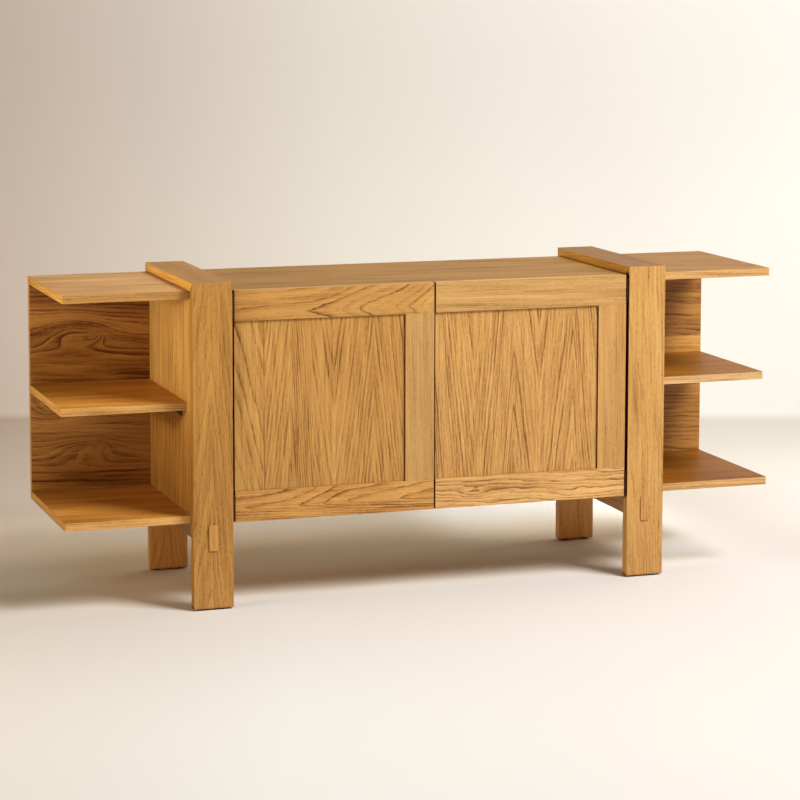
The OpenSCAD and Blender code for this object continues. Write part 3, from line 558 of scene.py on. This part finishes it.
    # Painted highlight: the arrises are paler than the faces beside them, as a bright line along each edge
    add("arris", along="z", across="x", climb=UPRIGHT, mean=PALE_EDGE_AND_HIGHLIGHT, figure=level(-1.0, 1.0), line=0.1,
        shine=0.1)
    # post_arris is also darkened over its lowest millimetres: painted shadow, as the dark line at the floor
    add("post_arris", along="z", across="x", climb=UPRIGHT, mean=PALE_EDGE_AND_HIGHLIGHT, figure=level(-1.0, 1.0), line=0.1,
        tints=((0.003, (0.25, 0.15, 0.10)), (0.010, UNCHANGED), (HEIGHT, UNCHANGED)))
    for side, gold, post_gold in (("left", GOLD, POST_GOLD), ("right", RIGHT_GOLD, RIGHT_POST_GOLD)):
        add("post_inner_" + side, along="z", across="y", climb=UPRIGHT, mean=post_gold,
            figure=level(-1.0, 1.0), line=0.25, shine=0.05, gap=(0.16, 0.016, 0.003))
        add("door_side_" + side, along="z", across="y", climb=UPRIGHT, mean=gold,
            figure=level(-1.0, 1.0), line=0.25, shine=0.05, gap=(0.16, 0.016, 0.003))
        add("gap_arris_" + side, along="z", across="x", climb=UPRIGHT, mean=gold,
            figure=level(-1.0, 1.0), line=0.1, shine=0.05, gap=(0.20, 0.04, 0.012))
    add("plain_arris", along="z", across="x", climb=UPRIGHT, mean=GOLD, figure=level(-1.0, 1.0),
        line=0.1, shine=0.1)
    return made


# Dressed boards: each oak node's own shape, with softened arrises

ARRIS = 0.9 * MM
POST_ARRIS = 1.6 * MM
SHORTEST_EDGE = 6 * MM
FLAT_ANGLE = math.radians(0.5)
SHARP_ANGLE = math.radians(40)
FACES_AXIS = 0.9
SIDE_ARRIS = 0.35
SAME_PLACE = 0.001 * MM
FACE_SLOT, ARRIS_SLOT, FIRST_WAY_SLOT = 0, 1, 2


def soften_arrises(shape, width):
    """Bevels the long sharp outer edges. The rims of small holes stay as drilled."""
    chosen = []
    for edge in shape.edges:
        if len(edge.link_faces) != 2 or edge.calc_length() < SHORTEST_EDGE:
            continue
        if edge.calc_face_angle_signed(0.0) > SHARP_ANGLE:
            chosen.append(edge)
    bmesh.ops.bevel(shape, geom=chosen, offset=width, offset_type="OFFSET", segments=2, profile=0.5,
                    affect="EDGES", clamp_overlap=True, material=ARRIS_SLOT, loop_slide=True)


def looks(normal, way):
    """Whether a normal lies along the axis x, y or z."""
    return abs(normal[AXES[way]]) > FACES_AXIS


def dressed(node, body, slot, width, arris, face, side_arris, **by_way):
    """A copy of a CAD node with arrises softened by width. by_way gives the finish of the faces that
    look along x, y or z, where it differs from face, and side_arris that of the arrises that look
    sideways, if it isn't None."""
    mesh = frame["nodes"][node].data.copy()
    mesh.name = node + "_oak"
    mesh.materials.clear()
    mesh.materials.append(face)
    mesh.materials.append(arris)
    ways = list(by_way)
    for way in ways:
        mesh.materials.append(by_way[way])
    shape = bmesh.new()
    shape.from_mesh(mesh)
    bmesh.ops.remove_doubles(shape, verts=shape.verts, dist=SAME_PLACE)
    bmesh.ops.dissolve_limit(shape, angle_limit=FLAT_ANGLE, verts=shape.verts, edges=shape.edges)
    for found in shape.faces:
        found.material_index = FACE_SLOT
        found.smooth = True
        for number, way in enumerate(ways):
            if looks(found.normal, way):
                found.material_index = FIRST_WAY_SLOT + number
    soften_arrises(shape, width)
    if side_arris is not None:
        mesh.materials.append(side_arris)
        for found in shape.faces:
            if found.material_index == ARRIS_SLOT and abs(found.normal.x) > SIDE_ARRIS:
                found.material_index = FIRST_WAY_SLOT + len(ways)
    for edge in shape.edges:
        edge.smooth = True
    shape.to_mesh(mesh)
    shape.free()
    mesh.set_sharp_from_angle(angle=SHARP_ANGLE)
    made = bpy.data.objects.new(node + "_oak", mesh)
    bpy.context.scene.collection.objects.link(made)
    weighted = made.modifiers.new("normals", "WEIGHTED_NORMAL")
    weighted.keep_sharp = True
    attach(made, body)
    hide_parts(node)


def dress_boards(oaks):
    """Every oak node of the record gets its dressed board."""
    body_of = {}
    for body, nodes in frame["record"]["behaviour"]["bodies"].items():
        for node in nodes:
            body_of[node] = body
    slot_of = {part["node"]: part["material_slot"] for part in frame["record"]["subparts"]}

    def board(node, face, arris="arris", width=ARRIS, side_arris=None, **by_way):
        side_finish = oaks[side_arris] if side_arris else None
        dressed(node, body_of[node], slot_of[node], width, oaks[arris], oaks[face], side_finish,
                **{way: oaks[name] for way, name in by_way.items()})

    for side in ("left", "right"):
        board("front_post_" + side, "post_" + side, "post_arris", POST_ARRIS, x="post_inner_" + side)
        board("rear_post_" + side, "rear_post_" + side)
        board("cap_" + side, "cap_edge_" + side, z="cap_" + side)
        # Painted shadow on the stretchers' arrises, outlining the tenons
        board("stretcher_" + side, "stretcher_" + side, "shaded_edge", y="tenon_" + side)
        board("wall_" + side, "wall_" + side)
        board("wing_shelf_" + side, "edge_" + side, z="shelf_" + side, x="end_" + side)
        board("inner_shelf_" + side, "edge_" + side, z="shelf_" + side)
        for part in ("top_rail", "bottom_rail", "stile", "panel"):
            board(side + "_door_" + part, side + "_" + part, "plain_arris", x="door_side_" + side,
                  side_arris="gap_arris_" + side)
    board("wing_back_upper_left", "back_left_upper", x="end_left")
    board("wing_back_lower_left", "back_left_lower", x="end_left")
    board("wing_back_upper_right", "back_right", x="end_right")
    board("wing_back_lower_right", "back_right", x="end_right")
    board("wing_back_rail_right", "back_rail", x="end_right")
    board("back_panel", "back_right")
    board("partition", "wall_left")
    board("top_board", "edge_long", z="top", x="end_left")
    board("bottom_board", "edge_low", z="low_shelf", x="end_left")


def finish_fittings():
    """Materials for the nodes that stay as packed."""
    finishes = {
        "dowel_beech": plain("beech", (0.62, 0.44, 0.26), (0.52, 0.35, 0.19), 0.6),
        "hinge_bronze": plain("bronze", (0.040, 0.013, 0.004), (0.055, 0.020, 0.007), 0.75,
                              Specular_IOR_Level=0.12),
        "black_metal": plain("black_coat", (0.014, 0.014, 0.015), (0.02, 0.02, 0.021), 0.5),
        "black_plastic": plain("black_plastic", (0.018, 0.018, 0.019), (0.026, 0.026, 0.027), 0.55),
        "steel": plain("zinc", (0.56, 0.57, 0.59), (0.46, 0.47, 0.49), 0.35, Metallic=1.0),
    }
    for part in frame["record"]["subparts"]:
        node = frame["nodes"][part["node"]]
        if part["material_slot"] in finishes and not node.hide_render:
            node.data.materials.clear()
            node.data.materials.append(finishes[part["material_slot"]])


# Studio

WALL_PLACE = 2.234
WALL_TOP = 16.0
COVE_RADIUS = 0.03
COVE_STEPS = 8
STAGE_NEAR = -40.0
STAGE_HALF_WIDTH = 40.0
FLOOR_LIGHT_HEIGHT = 2.2
FLOOR_LIGHT_SPREAD = math.radians(9)
WING_LIGHT_HEIGHT = 0.12
WING_LIGHT_SPREAD = math.radians(70)

# Paints of the studio, as stops of (place, colour) from left to right or from near to far. They are
# painted light and shade: darker to the left and far away, and lighter low on the wall than high up.
PAINT_LEFT, PAINT_WIDTH = -2.0, 4.0
WALL_PAINT = ((0.05, (0.61, 0.505, 0.455)), (0.45, (0.765, 0.75, 0.73)), (0.90, (0.81, 0.815, 0.805)))
FAR_PAINT = ((0.05, (0.48, 0.365, 0.29)), (0.45, (0.65, 0.60, 0.54)), (0.90, (0.655, 0.63, 0.595)))
NEAR_PAINT = ((0.10, (0.67, 0.60, 0.53)), (0.45, (0.725, 0.71, 0.69)), (0.90, (0.63, 0.575, 0.54)))
LOW_WALL_SHARE = (1.07, 1.07, 1.05)
HIGH_WALL_SHARE = (0.95, 0.945, 0.94)
# Painted shadow under the table: the band is darker and warmer behind the table's front, with a lighter
# strip in front of it
BAND_NEAR, BAND_DEPTH = -0.20, 0.80
BAND_SHARES = ((0.0, UNCHANGED), (0.2, (1.22, 1.19, 1.08)), (0.33, (1.15, 1.10, 0.95)),
               (0.45, (0.93, 0.83, 0.68)), (0.75, (0.92, 0.83, 0.70)), (1.0, UNCHANGED))
# RIGHT_END_SHARE is painted shade: the floor beside the table's right end is darker
RIGHT_END_SHARE = (0.85, 0.83, 0.84)
ASIDE_PAINT = (0.74, 0.72, 0.69)
FAINT, FAINT_SPAN = 0.02, 0.8

# Where one paint gives way to the next, in metres
NEAR_TO_FAR = (-1.6, 1.4)
WALL_RISE = (0.3, 1.3)
PAST_TABLE = (0.65, 0.95)
RIGHT_END = (0.75, 1.1)
RIGHT_END_FRONT = (-0.7, 0.0)
RIGHT_END_REAR = (0.5, 1.2)
FAR_ASIDE = (2.4, 4.5)


def make_stage():
    """Floor and wall as one sheet with a small cove. Its own X axis runs along the wall."""
    profile = [(STAGE_NEAR, 0.0)]
    for step in range(COVE_STEPS + 1):
        turn = math.pi / 2 * step / COVE_STEPS
        profile.append((WALL_PLACE - COVE_RADIUS + COVE_RADIUS * math.sin(turn),
                        COVE_RADIUS - COVE_RADIUS * math.cos(turn)))
    profile.append((WALL_PLACE, WALL_TOP))
    shape = bmesh.new()
    rows = []
    for x in (-STAGE_HALF_WIDTH, STAGE_HALF_WIDTH):
        rows.append([shape.verts.new((x, y, z)) for y, z in profile])
    for step in range(len(profile) - 1):
        face = shape.faces.new((rows[0][step], rows[1][step], rows[1][step + 1], rows[0][step + 1]))
        face.smooth = True
    mesh = bpy.data.meshes.new("stage")
    shape.to_mesh(mesh)
    shape.free()
    stage = bpy.data.objects.new("stage", mesh)
    bpy.context.scene.collection.objects.link(stage)
    stage.rotation_euler = (0.0, 0.0, -CAMERA_YAW)
    mesh.materials.append(stage_finish())


def stage_finish():
    """Pale matt paint with painted light and shade. It is darker to the left and far away, and lighter low
    on the wall; beside the table's right end it is darker, as painted shade; under the table lies a
    painted shadow, darker and warmer, with a lighter strip in front of it; far aside it is plain. From
    behind the sheet is clear."""
    tree = Tree("studio")
    x, y, z = tree.place()
    faint = tree.noise((x / FAINT_SPAN, y / FAINT_SPAN, z / FAINT_SPAN)) * FAINT
    near = y.ramp(*NEAR_TO_FAR, start=1.0, end=0.0)
    across = (x - PAINT_LEFT) / PAINT_WIDTH + faint
    higher = tree.mix(z.ramp(*WALL_RISE), rgb(*LOW_WALL_SHARE), rgb(*HIGH_WALL_SHARE))
    wall_paint = tree.times(tree.shades(across, WALL_PAINT), higher)
    far_paint = tree.mix(z.ramp(0.0, COVE_RADIUS), tree.shades(across, FAR_PAINT), wall_paint)
    colour = tree.mix(near, far_paint, tree.shades(across, NEAR_PAINT))
    table_x = x * math.cos(CAMERA_YAW) + y * math.sin(CAMERA_YAW)
    table_y = y * math.cos(CAMERA_YAW) - x * math.sin(CAMERA_YAW)
    # Painted shadow band under the table, with a lighter strip at its front
    painted_shadow_band = tree.shades((table_y - BAND_NEAR) / BAND_DEPTH, BAND_SHARES)
    beside = tree.math("ABSOLUTE", table_x).ramp(*PAST_TABLE)
    colour = tree.times(colour, tree.mix(beside, painted_shadow_band, rgb(*UNCHANGED)))
    # Painted shade on the floor beside the table's right end
    right_end = table_x.ramp(*RIGHT_END) * table_y.ramp(*RIGHT_END_FRONT)
    right_end = right_end * table_y.ramp(*RIGHT_END_REAR, start=1.0, end=0.0)
    colour = tree.times(colour, tree.mix(right_end, rgb(*UNCHANGED), rgb(*RIGHT_END_SHARE)))
    aside = tree.math("ABSOLUTE", x).ramp(*FAR_ASIDE)
    colour = tree.mix(aside, colour, rgb(*ASIDE_PAINT))
    paint = tree.node("BsdfDiffuse")
    tree.put(paint.inputs["Color"], colour)
    clear = tree.node("BsdfTransparent")
    side = tree.node("MixShader")
    tree.links.new(tree.node("NewGeometry").outputs["Backfacing"], side.inputs[0])
    tree.links.new(paint.outputs[0], side.inputs[1])
    tree.links.new(clear.outputs[0], side.inputs[2])
    out = tree.node("OutputMaterial")
    tree.links.new(side.outputs[0], out.inputs["Surface"])
    return tree.material


def place_light(data, place, target):
    light = bpy.data.objects.new(data.name, data)
    bpy.context.scene.collection.objects.link(light)
    light.location = place
    light.visible_camera = False
    light.rotation_euler = (Vector(target) - Vector(place)).to_track_quat("-Z", "Y").to_euler()


def area_light(name, place, target, size, watts, colour):
    data = bpy.data.lights.new(name, "AREA")
    data.shape = "SQUARE"
    data.size = size
    data.energy = watts
    data.color = colour
    place_light(data, place, target)


def floor_light(name, left, right, near, far, watts, colour, height=FLOOR_LIGHT_HEIGHT,
                spread=FLOOR_LIGHT_SPREAD):
    """A light that shines straight down on a strip of the floor. The spread says how much of its light
    falls beside the strip."""
    data = bpy.data.lights.new(name, "AREA")
    data.shape = "RECTANGLE"
    data.size = right - left
    data.size_y = far - near
    data.spread = spread
    data.energy = watts
    data.color = colour
    light = bpy.data.objects.new(name, data)
    bpy.context.scene.collection.objects.link(light)
    light.location = ((left + right) / 2, (near + far) / 2, height)
    light.visible_camera = False


def make_lights():
    """A soft key from the front right, weak lights behind and at both sides, two lights down on the
    floor behind the table and one under its right wing, a warm spot on the left shelves and an even
    warm sky."""
    middle = (0.0, 0.0, 0.4)
    area_light("key", place=(2.45, -3.05, 4.30), target=middle, size=2.2, watts=385.0,
               colour=(0.99, 1.0, 1.01))
    area_light("back_light", place=(1.1, 1.35, 2.4), target=(0.1, 0.45, 0.0), size=1.2, watts=5.0,
               colour=(1.0, 0.84, 0.48))
    area_light("left_fill", place=(-2.75, -0.75, 1.0), target=(-0.6, 0.0, 0.5), size=0.9, watts=18.0,
               colour=(1.0, 0.90, 0.70))
    area_light("right_fill", place=(1.9, 0.35, 0.7), target=(0.85, 0.1, 0.0), size=0.6, watts=7.0,
               colour=(1.0, 0.97, 0.90))
    floor_light("floor_light_right", left=0.28, right=0.86, near=0.34, far=1.00, watts=0.95,
                colour=(0.84, 0.92, 0.96))
    floor_light("floor_light_left", left=-1.30, right=0.28, near=0.42, far=0.95, watts=0.6,
                colour=(1.0, 0.90, 0.72))
    floor_light("wing_light", left=0.63, right=0.82, near=-0.03, far=0.16, watts=0.072,
                colour=(0.78, 0.86, 1.0), height=WING_LIGHT_HEIGHT, spread=WING_LIGHT_SPREAD)
    accent = bpy.data.lights.new("left_accent", "SPOT")
    accent.energy = 85.0
    accent.color = (1.0, 0.93, 0.78)
    accent.spot_size = math.radians(24)
    accent.spot_blend = 1.0
    accent.shadow_soft_size = 0.12
    place_light(accent, place=(-2.5, -0.8, 0.86), target=(-0.6, 0.0, 0.66))
    world = bpy.data.worlds.new("sky")
    world.use_nodes = True
    sky = world.node_tree.nodes["Background"]
    sky.inputs["Color"].default_value = rgb(1.0, 0.81, 0.44)
    sky.inputs["Strength"].default_value = 0.20
    scene = bpy.context.scene
    scene.world = world
    scene.view_settings.view_transform = "Standard"


make_camera()
dress_boards(make_oaks())
finish_fittings()
make_stage()
make_lights()
